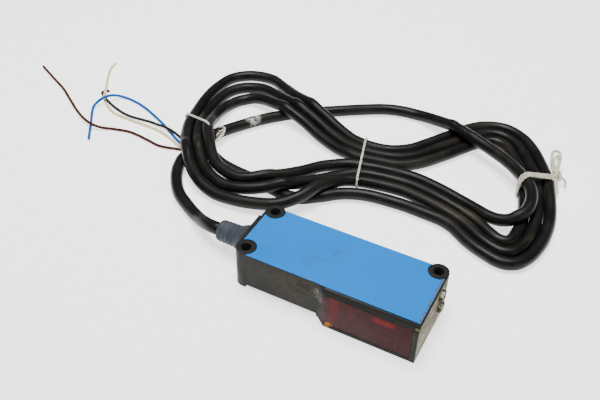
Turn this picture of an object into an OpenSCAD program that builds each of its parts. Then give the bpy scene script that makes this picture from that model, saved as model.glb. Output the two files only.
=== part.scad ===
// Photoelectric sensor: flat block housing with a side-looking lens block, two small rotary
// controls on its end face, a moulded cable boot and a tied-up four-wire lead.
// Millimetres. +X runs along the housing towards the controls, +Y away from the front window,
// +Z up. The origin is the middle of the sensor's footprint, on the surface it lies on.

/* [Housing] */
// Height of the housing over its mounting bosses
body_h = 18.2; // [17:0.1:20]
// Thickness of the outer walls
wall = 1.6; // [1.4:0.1:1.8]
// How far the lens block stands in front of the narrow half
lens_step = 3.2; // [2.5:0.1:4]
// Distance from the left mounting holes to the start of the lens block
lens_start = 37.2; // [36:0.1:40]
// Depth of the rear wall behind the front left mounting hole
rear_depth = 25.6; // [25:0.1:26]
// Size of the chamfer under the narrow half
base_chamfer = 1.5; // [0.8:0.1:1.6]

/* [Mounting holes] */
// Spacing of the mounting holes along the housing
hole_pitch_x = 70; // [70:1:72]
// Spacing of the mounting holes across the housing
hole_pitch_y = 23.2; // [22.8:0.1:23.6]
// Diameter of the mounting holes, clearance for an M4 screw
hole_d = 4.2; // [4.1:0.1:4.5]
// Outer diameter of the mounting bosses
boss_d = 8.1; // [7.8:0.1:8.4]

/* [Cover and window] */
// Thickness of the cover plate
cover_t = 1.3; // [1:0.1:1.5]
// Thickness of the coloured film on the cover plate
film_t = 0.25; // [0.2:0.05:0.3]
// Thickness of the front window
window_t = 1.2; // [1:0.1:1.3]
// Thickness of the control panel
panel_t = 1.6; // [1.4:0.1:1.6]

/* [Optics] */
// Diameter of the two lenses
lens_d = 12.4; // [11:0.1:12.6]
// Distance between the two optical axes
lens_pitch = 15.6; // [15:0.1:16]
// Thickness of the circuit boards
board_t = 1.2; // [1:0.1:1.6]

/* [Controls] */
// Diameter of the two rotary controls
knob_d = 4.8; // [4.2:0.1:5]
// How far the controls stand out of the end face
knob_out = 1.35; // [1:0.05:1.5]
// Distance between the two controls
knob_pitch = 5.8; // [5.6:0.1:6]
// Diameter of the control shafts
shaft_d = 2; // [1.8:0.1:2.4]

/* [Cable] */
// Diameter of the cable jacket
cable_d = 5.6; // [5.2:0.1:5.8]
// Length of the boot outside the housing
boot_len = 15.35; // [14:0.05:16]
// Diameter of the boot at the housing
boot_base_d = 12.6; // [12:0.1:13]
// Diameter of the boot at its tip
boot_tip_d = 8.2; // [7.6:0.1:9]
// Diameter of each insulated conductor
wire_d = 1.4; // [1.2:0.1:1.5]
// Height of the solid that stands for the coiled cable
hank_h = 6; // [5:0.5:10]
// Thickness of the ties round the coiled cable
tie_t = 1.1; // [0.8:0.1:1.4]

/* [Hidden] */

eps = 0.01;
gap = 0.05;                      // room left between neighbouring solids
boss_r = boss_d / 2;
body_len = hole_pitch_x + boss_d;
total_len = body_len + boot_len + knob_out;
body_w = hole_pitch_y + boss_d + lens_step;

// Left mounting holes and the planes of the outer walls
hole_x = -total_len / 2 + boot_len + boss_r;
hole_y = -body_w / 2 + lens_step + boss_r;
x_cable = hole_x - boss_r;
x_end = hole_x + hole_pitch_x + boss_r;
y_narrow = hole_y - boss_r;
y_lens = y_narrow - lens_step;
y_rear = hole_y + rear_depth;
x_lens = hole_x + lens_start;
HOLES = [
    [hole_x, hole_y],
    [hole_x, hole_y + hole_pitch_y],
    [hole_x + hole_pitch_x, hole_y + hole_pitch_y],
];

// Heights
deck_z = body_h - film_t - 0.05;         // top of the cover plate and of the rim around it
rebate = wall / 2;
seat_z = deck_z - cover_t;
floor_t = wall;
front_wall = wall + 0.8;                  // wall of the lens block, with the window's seat in it

// Lens block
ramp_len = 3.9;                          // length of the sloped shoulder
deck_chamfer = 1.7;                      // chamfer between the deck and the lens face
window_x0 = x_lens - 0.9;
window_x1 = x_end - 2;
window_z0 = 1.5;
window_z1 = deck_z - deck_chamfer + 0.3;
window_r = 2.6;                          // rounding of the window's left corners
window_lip = 1.1;                        // width of the ledge behind the window's edge
gasket_t = 0.3;

// Optics
axis_z = (window_z0 + window_z1) / 2;
axis_x = x_lens + 3 + lens_pitch;        // middle between the emitter and the receiver
frame_front = y_lens + front_wall + 0.1;
frame_depth = 13.9;
frame_back = frame_front + frame_depth;
lens_edge_t = 1.2;
lens_dome = 2.2;
eye_x = [axis_x - lens_pitch / 2, axis_x + lens_pitch / 2];

// Boards
main_z = 5.2;                            // underside of the main board
main_x0 = x_cable + wall + 5.5;
main_x1 = x_lens - 1.5;
main_y0 = y_narrow + wall + 0.8;
main_y1 = y_rear - wall - 1;
optics_board_y = frame_back + gap;
screw_x = [main_x0 + 7, main_x1 - 3];
screw_y = main_y1 - 3;

// Controls on the end face
knob_y = hole_y + 16.6;
knob_mid_z = 10.4;
knob_z = [knob_mid_z - knob_pitch / 2, knob_mid_z + knob_pitch / 2];
control_board_x = x_end - panel_t - 8.2;
panel_z0 = 0.9;
panel_z1 = deck_z - 0.6;
led_y = knob_y - 4;
pot_depth = 4.4;
pot_w = 4.5;
knob_len = panel_t + knob_out + 0.6;     // length of the wide head
shaft_len = 5.2;
slot_w = 0.8;                            // screwdriver slot in each control
slot_len = 3.8;

// Cable entry in the middle of the cable end wall
cable_y = hole_y + boss_r + 7.55;
cable_z = 9;
pad_out = 1.35;                          // raised pad on the end wall around the boot
pad_w = 15.6;
boot_tip_x = x_cable - boot_len;

// Free cable from the boot's tip to the coil, laid on the surface by hand
LEAD = [
    [boot_tip_x, cable_y, cable_z], [boot_tip_x - 3, cable_y, cable_z], [-56, 3.8, 7],
    [-63, 8.2, 4.2], [-71, 12.8, 2.9], [-79.5, 18.2, 2.9], [-86, 25.4, 2.9], [-90.5, 33.5, 2.9],
    [-92.2, 40.5, 2.9], [-91.4, 45.6, 2.9], [-88.6, 48.8, 2.9], [-84.6, 49.6, 2.9],
    [-80.6, 48, 2.9], [-75, 45.6, 2.9], [-66, 43.8, 2.9], [-56, 43, 2.9], [-46, 41.4, 2.9],
    [-37.5, 40.4, 2.9], [-31, 42, 2.9], [-25.5, 46.8, 2.9], [-18, 53, 2.9], [-8, 57.4, 2.9],
    [6, 59.4, 2.9], [20, 59.6, 2.9], [34, 58.3, 2.9],
];

// Free cable from the coil to the end of the jacket
TAIL = [
    [-6, 77.5, 2.9], [7, 78.2, 2.9], [20, 75.6, 2.9], [32, 71.6, 2.9], [43, 68, 2.9],
    [51, 67, 2.9], [57, 68.6, 3.8], [60.4, 73.5, 5.4], [60.6, 81, 6.6], [58, 89, 6.6],
    [53, 95.5, 6.2], [44.5, 103.5, 7], [33.5, 110, 7.4], [20.5, 115.6, 7.4], [8, 121.2, 6],
    [-3, 125.8, 4], [-12, 127.2, 2.8], [-24, 124.8, 2.9], [-36, 118, 2.9], [-48, 109.6, 2.9],
    [-59, 102, 2.9], [-68.6, 94.3, 2.9], [-77, 85, 2.9], [-84, 74.5, 2.9], [-88.6, 65.5, 2.9],
    [-91.5, 57.5, 2.9],
];

// The four insulated conductors beyond the end of the jacket
BROWN = [
    [-90.8, 57.2, 3.4], [-92.6, 52.6, 2.6], [-95.2, 49.6, 1.4], [-98.6, 47.8, 0.8],
    [-101.7, 47, 0.8], [-105.3, 45.9, 0.8], [-110.6, 45.1, 0.8], [-117.5, 46.2, 0.8],
    [-129, 47.4, 0.8], [-138.4, 45.3, 0.8], [-143.2, 42.9, 1.5], [-147.8, 42, 2.4],
    [-155.2, 44.8, 1.6], [-163.7, 49.5, 0.8], [-173.7, 55.9, 0.8], [-183.2, 62, 0.8],
    [-190.7, 65.7, 0.8], [-207.3, 73.9, 0.8],
];
WHITE = [
    [-90.8, 57.2, 1.9], [-93.6, 53.4, 1.3], [-96.2, 50.8, 1], [-98.9, 49.6, 0.8],
    [-102.3, 49.8, 0.8], [-107.2, 51.9, 0.8], [-112.8, 54, 0.8], [-117.8, 55.1, 0.8],
    [-122.9, 55.6, 0.8], [-135.2, 55.7, 0.8], [-141, 56, 0.8], [-146, 56.8, 0.8],
    [-151, 59.1, 0.8], [-155.9, 62.5, 0.9], [-158.2, 64.8, 2.1], [-160.4, 68.5, 2.5],
    [-165.7, 76.1, 1.2], [-170.4, 83.4, 0.8], [-173.7, 89.8, 0.8], [-175.1, 95.6, 0.8],
];
BLUE = [
    [-92.2, 57.8, 1.9], [-95, 54.2, 1.4], [-97.6, 51.9, 0.9], [-100.6, 51.3, 0.8],
    [-105, 53.1, 0.8], [-111, 56.5, 0.8], [-117.9, 60.4, 0.8], [-123.5, 63.2, 0.8],
    [-129, 65.7, 0.8], [-136, 68.5, 0.8], [-142.3, 70.2, 0.8], [-147.9, 70.9, 0.8],
    [-152.2, 69.9, 1.5], [-154.7, 66.8, 2.9], [-156.3, 62.4, 3.6], [-157.7, 59.1, 2.6],
    [-158.2, 56.2, 1.4], [-155.7, 51.4, 0.8], [-150.5, 44.2, 0.8], [-146.7, 38.6, 0.8],
    [-142.9, 33.1, 0.8],
];
BLACK = [
    [-92.2, 57.8, 3.4], [-96.8, 54.2, 3], [-100.5, 52.8, 2.5], [-104.7, 54.4, 2.4],
    [-109.5, 56.3, 2.4], [-114.5, 57.5, 2.2], [-120, 58.4, 1.5], [-125.6, 59.3, 0.8],
    [-131.4, 58.8, 0.8], [-136.6, 58.4, 0.8], [-141.3, 58.9, 0.8], [-146.9, 60.4, 0.8],
    [-152.4, 62.5, 0.8], [-157.5, 65, 0.8], [-160.5, 66.9, 0.8], [-163, 68.8, 0.8],
    [-162.6, 70.6, 0.8], [-160.8, 71.9, 0.8],
];
tip_len = 0.8;                           // bare end of each conductor

// Outline of the coil, which two ties and a pinch in the middle hold as a slack figure of eight
HANK_OUTER = [
    [42, 50], [51, 46], [59, 43.5], [66, 47], [69.5, 57], [71, 70], [71, 82], [67.5, 96],
    [61.5, 111.5], [52, 127.5], [44, 135.5], [33, 139.5], [21.5, 136], [12.5, 126.5], [2.5, 108.5],
    [-8, 94.5], [-18, 91.6], [-38, 97], [-61, 108], [-83, 117.5], [-93, 120.6], [-104, 117.6],
    [-110.5, 108.5], [-112, 97], [-110.5, 83], [-105, 66], [-98.5, 49.5], [-90.5, 38], [-81.5, 29.8],
    [-70, 24.2], [-58, 23.2], [-46.5, 28.2], [-36, 38.4], [-26.5, 53.5], [-18, 62.3], [-6, 65],
    [8, 64.6], [20, 62.2], [31, 56.6],
];
HANK_LEFT_HOLE = [
    [-31, 70.5], [-44, 77.5], [-60, 88.5], [-74, 94.5], [-84, 92.5], [-91, 85.5], [-93.5, 76],
    [-92, 64.5], [-86, 52.5], [-77, 43.5], [-67, 39.5], [-57, 42.5], [-47, 53], [-39, 62.5],
];
HANK_RIGHT_HOLE = [
    [9, 80.5], [16, 89], [22, 101], [27.5, 113.5], [33, 121], [40, 117.5], [47.5, 107], [53.5, 92],
    [56, 80], [56, 67.5], [52, 62.5], [44, 64], [34, 69], [22, 75],
];

// Each tie: its middle, the direction across the cables that it holds, and its span
TIE_LEFT = [-96.5, 64.5, -20, 20];
TIE_MIDDLE = [-17.8, 77, 107, 31];
TIE_RIGHT = [58, 98, 52, 22];
tie_h = 8.4;                             // height of the ties over the surface

// ---------------------------------------------------------------------------------------------
// Helpers

function unit(v) = v / norm(v);
function heading(p, i) = unit(p[min(i + 1, len(p) - 1)] - p[max(i - 1, 0)]);
function side_of(t) = unit(cross(t, [0, 0, 1]));
function ring(c, t, r, n) = [
    for (k = [0 : n - 1])
        let (a = 360 * k / n, s = side_of(t))
            c + r * (cos(a) * s + sin(a) * cross(s, t)),
];

// A round tube swept along the points of a route
module tube(route, d, sides = 8) {
    last = len(route) - 1;
    rings = [for (i = [0 : last]) each ring(route[i], heading(route, i), d / 2, sides)];
    skin = [
        for (i = [0 : last - 1], k = [0 : sides - 1])
            let (a = i * sides + k, b = i * sides + (k + 1) % sides)
                [a, b, b + sides, a + sides],
    ];
    start = [for (k = [sides - 1 : -1 : 0]) k];
    end = [for (k = [0 : sides - 1]) last * sides + k];
    polyhedron(points = rings, faces = concat([start], skin, [end]));
}

module rod_x(x0, x1, y, z, d) {
    translate([x0, y, z]) rotate([0, 90, 0]) cylinder(d = d, h = x1 - x0, $fn = 48);
}

module rod_y(x, y0, y1, z, d) {
    translate([x, y0, z]) rotate([-90, 0, 0]) cylinder(d = d, h = y1 - y0, $fn = 48);
}

module box(x0, x1, y0, y1, z0, z1) {
    translate([x0, y0, z0]) cube([x1 - x0, y1 - y0, z1 - z0]);
}

// ---------------------------------------------------------------------------------------------
// Plan shapes of the housing

module block_plan(inset = 0) {
    polygon([
        [x_cable + inset, hole_y], [hole_x, hole_y], [hole_x, y_narrow + inset],
        [x_lens - ramp_len + inset / 3, y_narrow + inset], [x_lens + inset / 3, y_lens + inset],
        [x_end - inset, y_lens + inset], [x_end - inset, hole_y + hole_pitch_y],
        [hole_x + hole_pitch_x, hole_y + hole_pitch_y], [hole_x + hole_pitch_x, y_rear - inset],
        [hole_x, y_rear - inset], [hole_x, hole_y + hole_pitch_y],
        [x_cable + inset, hole_y + hole_pitch_y],
    ]);
}

module boss_discs(d) {
    for (p = HOLES) translate(p) circle(d = d, $fn = 64);
}

module outer_plan() {
    block_plan();
    boss_discs(boss_d);
}

module inner_plan(inset) {
    difference() {
        block_plan(inset);
        boss_discs(boss_d + 2 * gap);
        translate([x_lens - ramp_len, y_lens]) square([body_len, front_wall]);
    }
}

// Width of the rim left free at the end face: narrow beside the film, over the panel beside
// the cover plate
function end_rim(inset) = inset < rebate / 2 ? 0.7 : panel_t + gap + inset - rebate + gap;

// The cover reaches over half of each wall and leaves the lens block's front rim free
module cover_plan(inset) {
    difference() {
        intersection() {
            block_plan(inset);
            polygon([
                [x_cable - 1, y_narrow - 1], [x_lens - ramp_len - 0.2, y_narrow - 1],
                [x_lens - ramp_len + 0.4, y_narrow + inset],
                [x_lens - 0.6, y_lens + deck_chamfer + inset / 2],
                [x_end - end_rim(inset), y_lens + deck_chamfer + inset / 2],
                [x_end - end_rim(inset), y_rear + 1], [x_cable - 1, y_rear + 1],
            ]);
        }
        boss_discs(boss_d + 0.3);
    }
}

// ---------------------------------------------------------------------------------------------
// Housing shell and what closes it

module window_shape(grow, depth) {
    // outline of the window in X and Z, rounded at its left corners
    r = window_r + grow;
    x0 = window_x0 - grow;
    x1 = window_x1 + grow;
    z0 = window_z0 - grow;
    z1 = window_z1 + grow;
    rotate([90, 0, 0]) translate([0, 0, -depth]) linear_extrude(depth) {
        polygon([[x0 + r, z0], [x1, z0], [x1, z1], [x0 + r, z1], [x0, z1 - r], [x0, z0 + r]]);
        translate([x0 + r, z0 + r]) circle(r = r, $fn = 48);
        translate([x0 + r, z1 - r]) circle(r = r, $fn = 48);
    }
}

module panel_plan(grow) {
    // outline of the control panel in X and Y, cut round the rear right boss
    difference() {
        translate([x_end - panel_t - grow, y_lens + 0.5 - grow])
            square([panel_t + grow + eps, y_rear - boss_d - y_lens + 2 + 2 * grow]);
        translate(HOLES[2]) circle(d = boss_d + 0.2 - 2 * grow, $fn = 64);
    }
}

module housing() {
    color([0.23, 0.23, 0.22]) difference() {
        union() {
            linear_extrude(deck_z) outer_plan();
            linear_extrude(body_h) boss_discs(boss_d);
            box(x_cable - pad_out, x_cable + wall, cable_y - pad_w / 2, cable_y + pad_w / 2,
                0.6, deck_z - 0.9);
        }
        // cavity, open at the top
        translate([0, 0, floor_t]) linear_extrude(body_h) inner_plan(wall);
        // seat of the cover plate, whose rim stays under the film
        translate([0, 0, seat_z]) linear_extrude(body_h) cover_plan(rebate - gap);
        // chamfer between the deck and the lens face
        translate([0, y_lens, deck_z]) rotate([45, 0, 0])
            cube([3 * body_len, 2.3 * deck_chamfer / sqrt(2), 2 * deck_chamfer / sqrt(2)],
                 center = true);
        // chamfer under the narrow half, clear of the boss foot
        translate([hole_x + 1.4, y_narrow, 0]) rotate([45, 0, 0])
            translate([0, -base_chamfer, -base_chamfer / sqrt(2)])
                cube([lens_start - ramp_len - 2, 2 * base_chamfer, sqrt(2) * base_chamfer]);
        // window opening and the seats of window and gasket
        translate([0, y_lens + window_t, 0]) window_shape(-window_lip, front_wall);
        translate([0, y_lens - 1, 0]) window_shape(gap, window_t + gasket_t + 1);
        // end opening, which the control panel fills
        translate([0, 0, panel_z0 - gap]) linear_extrude(panel_z1 - panel_z0 + 2 * gap)
            panel_plan(gap);
        // way in for the cable
        rod_x(x_cable - pad_out - 1, x_cable + wall + 1, cable_y, cable_z, 8.4);
        // mounting holes
        for (p = HOLES) translate([p[0], p[1], -1]) cylinder(d = hole_d, h = body_h + 2, $fn = 64);
    }
}

// The film leaves a dark strip free at the cable end and along the lens block's front edge
module film_plan() {
    side_strip = 1.25;
    difference() {
        cover_plan(0.05);
        translate([x_cable - 1, y_narrow - 1]) square([1 + side_strip, body_w]);
        translate([x_cable - 1, y_narrow - 1]) square([hole_x + 2.1 - x_cable + 1, 2.2]);
        translate([x_lens - ramp_len - 1, y_lens - 1]) square([body_len, 1 + lens_step - 0.2]);
    }
}

module top_cover() {
    color([0.16, 0.16, 0.16]) translate([0, 0, seat_z]) linear_extrude(cover_t) cover_plan(rebate);
}

module cover_film() {
    color([0.2, 0.62, 0.93]) translate([0, 0, deck_z]) linear_extrude(film_t) film_plan();
}

module front_window() {
    color([0.4, 0.1, 0.12, 0.8]) translate([0, y_lens + 0.1, 0]) window_shape(0, window_t - 0.1);
}

module window_gasket() {
    color([0.1, 0.1, 0.1]) difference() {
        translate([0, y_lens + window_t, 0]) window_shape(0, gasket_t);
        translate([0, y_lens + window_t - 1, 0]) window_shape(-window_lip, gasket_t + 2);
    }
}

module control_panel() {
    color([0.48, 0.45, 0.3, 0.85]) difference() {
        translate([0, 0, panel_z0]) linear_extrude(panel_z1 - panel_z0) panel_plan(0);
        for (z = knob_z) rod_x(x_end - panel_t - 1, x_end + 1, knob_y, z, knob_d + 0.3);
    }
}

// ---------------------------------------------------------------------------------------------
// Optics

module optics_frame() {
    color([0.12, 0.12, 0.12]) difference() {
        box(eye_x[0] - lens_pitch / 2 + 0.1, eye_x[1] + lens_pitch / 2 - 0.1, frame_front, frame_back,
            floor_t + gap, seat_z - gap);
        for (x = eye_x) {
            rod_y(x, frame_front - 1, frame_front + lens_edge_t + lens_dome, axis_z, lens_d + 2 * gap);
            translate([x, frame_front + lens_edge_t + lens_dome - eps, axis_z]) rotate([-90, 0, 0])
                cylinder(d1 = lens_d - 1.6, d2 = 4.4, h = frame_depth, $fn = 48);
        }
    }
}

module lens(x) {
    // plano-convex, flat side towards the window
    sphere_r = (pow(lens_d / 2, 2) + pow(lens_dome, 2)) / (2 * lens_dome);
    translate([x, frame_front, axis_z]) rotate([-90, 0, 0]) intersection() {
        cylinder(d = lens_d, h = lens_edge_t + lens_dome, $fn = 64);
        translate([0, 0, lens_edge_t + lens_dome - sphere_r]) sphere(r = sphere_r, $fn = 96);
    }
}

module emitter_lens() {
    color([0.8, 0.85, 0.9, 0.5]) lens(eye_x[1]);
}

module receiver_lens() {
    color([0.8, 0.85, 0.9, 0.5]) lens(eye_x[0]);
}

module optics_board() {
    color([0.1, 0.35, 0.18])
        box(eye_x[0] - 6, eye_x[1] + 6, optics_board_y, optics_board_y + board_t, 3.4, seat_z - 1);
}

// A chip with a domed window that looks forward through its light tube
module optical_chip(x, dome_d) {
    box(x - 1.6, x + 1.6, frame_back - 1, frame_back, axis_z - 1.6, axis_z + 1.6);
    translate([x, frame_back - 1, axis_z]) sphere(d = dome_d, $fn = 32);
}

module emitter_led() {
    color([0.75, 0.1, 0.1]) intersection() {
        optical_chip(eye_x[1], 2.4);
        rod_y(eye_x[1], frame_back - 3, frame_back, axis_z, 4.2);
    }
}

module receiver_photodiode() {
    color([0.15, 0.12, 0.2]) intersection() {
        optical_chip(eye_x[0], 1.8);
        rod_y(eye_x[0], frame_back - 3, frame_back, axis_z, 4.2);
    }
}

// ---------------------------------------------------------------------------------------------
// Electronics

module main_board() {
    color([0.1, 0.35, 0.18]) difference() {
        box(main_x0, main_x1, main_y0, main_y1, main_z, main_z + board_t);
        for (x = screw_x) translate([x, screw_y, 0]) cylinder(d = 2.2, h = body_h, $fn = 32);
        translate([hole_x, hole_y, 0]) cylinder(d = boss_d + 1, h = body_h, $fn = 48);
        translate([hole_x, hole_y + hole_pitch_y, 0]) cylinder(d = boss_d + 1, h = body_h, $fn = 48);
    }
}

module board_screws() {
    color([0.75, 0.75, 0.72]) for (x = screw_x) {
        translate([x, screw_y, floor_t + gap]) cylinder(d = 2, h = main_z + board_t - floor_t, $fn = 32);
        translate([x, screw_y, main_z + board_t + gap]) difference() {
            cylinder(d = 3.8, h = 1.4, $fn = 32);
            translate([0, 0, 1]) cube([4, 0.6, 1], center = true);
        }
    }
}

module board_link_pins() {
    // right-angle pins from the main board to the boards behind the optics and the controls
    color([0.85, 0.7, 0.3]) for (k = [0 : 4]) {
        x = eye_x[0] - 4 + 2.54 * k;
        box(x, x + 0.5, optics_board_y + board_t + gap, optics_board_y + board_t + 2.4, 6.8, 7.3);
    }
}

module signal_processor() {
    color([0.08, 0.08, 0.09]) difference() {
        box(-6.5, 1.5, -6, 2, main_z + board_t + gap, main_z + board_t + 1.5);
        translate([-5.5, -5, main_z + board_t + 1.5])
            cylinder(d = 0.9, h = 0.4, center = true, $fn = 24);
    }
}

module output_transistors() {
    color([0.08, 0.08, 0.09]) for (y = [-4.5, 1.5])
        box(-13.5, -9, y, y + 4, main_z + board_t + gap, main_z + board_t + 1.9);
}

module board_capacitors() {
    color([0.7, 0.55, 0.35]) for (p = [[-6, 4.5], [-1, 4.5], [3, -3]])
        box(p[0], p[0] + 3.2, p[1], p[1] + 1.6, main_z + board_t + gap, main_z + board_t + 1.4);
    color([0.2, 0.25, 0.5]) translate([-8, 9.4, main_z + board_t + gap])
        cylinder(d = 4, h = 5.4, $fn = 32);
}

module board_resistors() {
    color([0.1, 0.1, 0.1]) for (k = [0 : 5])
        box(-12 + 3 * k, -10 + 3 * k, -10.6, -9.4, main_z + board_t + gap, main_z + board_t + 0.6);
}

// ---------------------------------------------------------------------------------------------
// Controls

module control_board() {
    color([0.1, 0.35, 0.18])
        box(control_board_x, control_board_x + board_t, led_y - 1.1, knob_y + 3.2, 2.4, seat_z - 0.6);
}

// Square body of a rotary part with a blind bearing for its shaft
module rotary_body(z) {
    x0 = control_board_x + board_t + gap;
    difference() {
        box(x0, x0 + pot_depth, knob_y - pot_w / 2, knob_y + pot_w / 2, z - knob_pitch / 2 + 0.15,
            z + knob_pitch / 2 - 0.15);
        rod_x(x0 + 0.8, x0 + pot_depth + 1, knob_y, z, shaft_d + 2 * gap);
    }
}

module sensitivity_pot() {
    color([0.25, 0.35, 0.6]) rotary_body(knob_z[1]);
}

module mode_switch() {
    color([0.85, 0.83, 0.78]) rotary_body(knob_z[0]);
}

// Slotted head in the panel on a thinner shaft
module knob(z) {
    head_x0 = x_end + knob_out - knob_len;
    difference() {
        union() {
            rod_x(head_x0, x_end + knob_out - 0.3, knob_y, z, knob_d);
            translate([x_end + knob_out - 0.3, knob_y, z]) rotate([0, 90, 0])
                cylinder(d1 = knob_d, d2 = knob_d - 0.6, h = 0.3, $fn = 48);
            rod_x(head_x0 - shaft_len, head_x0 + eps, knob_y, z, shaft_d);
        }
        children();
    }
}

module sensitivity_adjuster() {
    z = knob_z[1];
    color([0.78, 0.76, 0.66]) knob(z) {
        translate([x_end + knob_out, knob_y, z]) rotate([35, 0, 0])
            cube([1.6, slot_w, slot_len], center = true);
    }
}

module mode_selector() {
    z = knob_z[0];
    color([0.2, 0.2, 0.2]) knob(z) {
        translate([x_end + knob_out, knob_y, z]) cube([1.6, slot_w, slot_len], center = true);
        translate([x_end + knob_out, knob_y, z + slot_len / 2])
            cube([0.6, 2 * slot_w, slot_w], center = true);
    }
}

module indicator_leds() {
    color([0.9, 0.75, 0.2]) for (z = knob_z) {
        box(control_board_x + board_t + gap, control_board_x + board_t + 1.1, led_y - 0.9,
            led_y + 0.9, z - 0.9, z + 0.9);
        rod_x(control_board_x + board_t + 1.1, x_end - panel_t - 0.4, led_y, z, 1.6);
    }
}

// ---------------------------------------------------------------------------------------------
// Cable entry

module cable_boot() {
    rib_pitch = 1.75;
    neck_d = 8.3;
    flange_z = -pad_out - wall - 1.5;
    outer_len = boot_len - pad_out - gap;
    color([0.24, 0.27, 0.31]) translate([x_cable - pad_out - gap, cable_y, cable_z])
        rotate([0, -90, 0]) difference() {
            union() {
                // neck in the wall and flange behind it
                translate([0, 0, flange_z]) cylinder(d = neck_d, h = eps - flange_z, $fn = 64);
                translate([0, 0, flange_z]) cylinder(d = neck_d + 2.3, h = 1.4, $fn = 64);
                // smooth flare, then the ribbed half
                cylinder(d = boot_base_d, h = 1.6, $fn = 64);
                translate([0, 0, 1.6 - eps])
                    cylinder(d1 = boot_base_d, d2 = boot_tip_d + 0.6, h = 5.2, $fn = 64);
                cylinder(d = boot_tip_d - 1, h = outer_len, $fn = 64);
                for (k = [0 : 3])
                    translate([0, 0, 6.6 + rib_pitch * k])
                        cylinder(d = boot_tip_d + 0.7, h = 1.15, $fn = 64);
                translate([0, 0, outer_len - 0.5]) cylinder(d = boot_tip_d, h = 0.5, $fn = 64);
            }
            translate([0, 0, -8]) cylinder(d = cable_d + 2 * gap, h = 40, $fn = 64);
        }
}

module cable_entry() {
    color([0.08, 0.08, 0.08]) rod_x(boot_tip_x + gap, x_cable + wall + 5, cable_y, cable_z, cable_d);
}

module strain_clip() {
    // split ring crimped on the jacket inside the housing
    x0 = x_cable + wall + 1.9;
    color([0.75, 0.75, 0.72]) difference() {
        rod_x(x0, x0 + 2, cable_y, cable_z, cable_d + 2.2);
        rod_x(x0 - 1, x0 + 3, cable_y, cable_z, cable_d + 2 * gap);
        box(x0 - 1, x0 + 3, cable_y - 0.5, cable_y + 0.5, cable_z, cable_z + 6);
    }
}

// An inner lead rises or falls from the jacket's end to its solder pad on the main board
module inner_lead(dy, dz, pad_y) {
    x0 = x_cable + wall + 5 + gap;
    tube([
        [x0, cable_y + dy, cable_z + dz], [x0 + 2, cable_y + dy, cable_z + dz],
        [x0 + 4.2, (cable_y + dy + pad_y) / 2, 8.4 + dz / 2], [x0 + 6, pad_y, 7.4],
        [x0 + 8, pad_y, main_z + board_t + wire_d / 2 + gap],
        [x0 + 10, pad_y, main_z + board_t + wire_d / 2 + gap],
    ], wire_d);
}

module inner_lead_brown() {
    color([0.4, 0.22, 0.12]) inner_lead(1, 1, cable_y + 5);
}

module inner_lead_white() {
    color([0.9, 0.87, 0.75]) inner_lead(1, -1, cable_y + 2.4);
}

module inner_lead_blue() {
    color([0.15, 0.45, 0.75]) inner_lead(-1, -1, cable_y - 2.4);
}

module inner_lead_black() {
    color([0.1, 0.1, 0.1]) inner_lead(-1, 1, cable_y - 5);
}

// ---------------------------------------------------------------------------------------------
// Free cable, its coil and its ties

module cable_lead() {
    color([0.08, 0.08, 0.08]) tube(LEAD, cable_d, 10);
}

module cable_hank() {
    color([0.09, 0.09, 0.09]) linear_extrude(hank_h) difference() {
        polygon(HANK_OUTER);
        polygon(HANK_LEFT_HOLE);
        polygon(HANK_RIGHT_HOLE);
    }
}

module cable_tail() {
    color([0.08, 0.08, 0.08]) tube(TAIL, cable_d, 10);
}

module conductor_brown() {
    color([0.4, 0.22, 0.12]) tube(BROWN, wire_d);
}

module conductor_white() {
    color([0.9, 0.87, 0.75]) tube(WHITE, wire_d);
}

module conductor_blue() {
    color([0.15, 0.45, 0.75]) tube(BLUE, wire_d);
}

module conductor_black() {
    color([0.1, 0.1, 0.1]) tube(BLACK, wire_d);
}

module conductor_tips() {
    color([0.8, 0.55, 0.35]) for (route = [BROWN, WHITE, BLUE, BLACK]) {
        last = len(route) - 1;
        end = route[last];
        dir = unit([end[0] - route[last - 1][0], end[1] - route[last - 1][1], 0]);
        tube([end + gap * dir, end + tip_len * dir], 0.7);
    }
}

// A loop of flat cord that stands on edge round a bundle of cables
module tie(place) {
    span = place[3];
    translate([place[0], place[1], 0]) rotate([0, 0, place[2]]) translate([0, tie_t, 0])
        rotate([90, 0, 0]) linear_extrude(2 * tie_t) difference() {
            translate([-span / 2 - tie_t, 0]) square([span + 2 * tie_t, tie_h]);
            translate([-span / 2, tie_t / 2]) square([span, tie_h - 1.5 * tie_t]);
        }
}

module hank_tie_left() {
    color([0.82, 0.8, 0.72]) tie(TIE_LEFT);
}

module hank_tie_middle() {
    color([0.82, 0.8, 0.72]) tie(TIE_MIDDLE);
}

module hank_tie_right() {
    color([0.82, 0.8, 0.72]) tie(TIE_RIGHT);
}

housing();
top_cover();
cover_film();
front_window();
window_gasket();
optics_frame();
emitter_lens();
receiver_lens();
optics_board();
emitter_led();
receiver_photodiode();
main_board();
board_screws();
board_link_pins();
signal_processor();
output_transistors();
board_capacitors();
board_resistors();
control_panel();
control_board();
sensitivity_pot();
mode_switch();
sensitivity_adjuster();
mode_selector();
indicator_leds();
cable_boot();
cable_entry();
strain_clip();
inner_lead_brown();
inner_lead_white();
inner_lead_blue();
inner_lead_black();
cable_lead();
cable_hank();
cable_tail();
conductor_brown();
conductor_white();
conductor_blue();
conductor_black();
conductor_tips();
hank_tie_left();
hank_tie_middle();
hank_tie_right();
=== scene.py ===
"""Photoelectric sensor with its tied-up lead: looks, in the CAD model's frame (metres)."""
import math

import bmesh
import bpy
import numpy as np
from mathutils import Matrix, Vector


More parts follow.
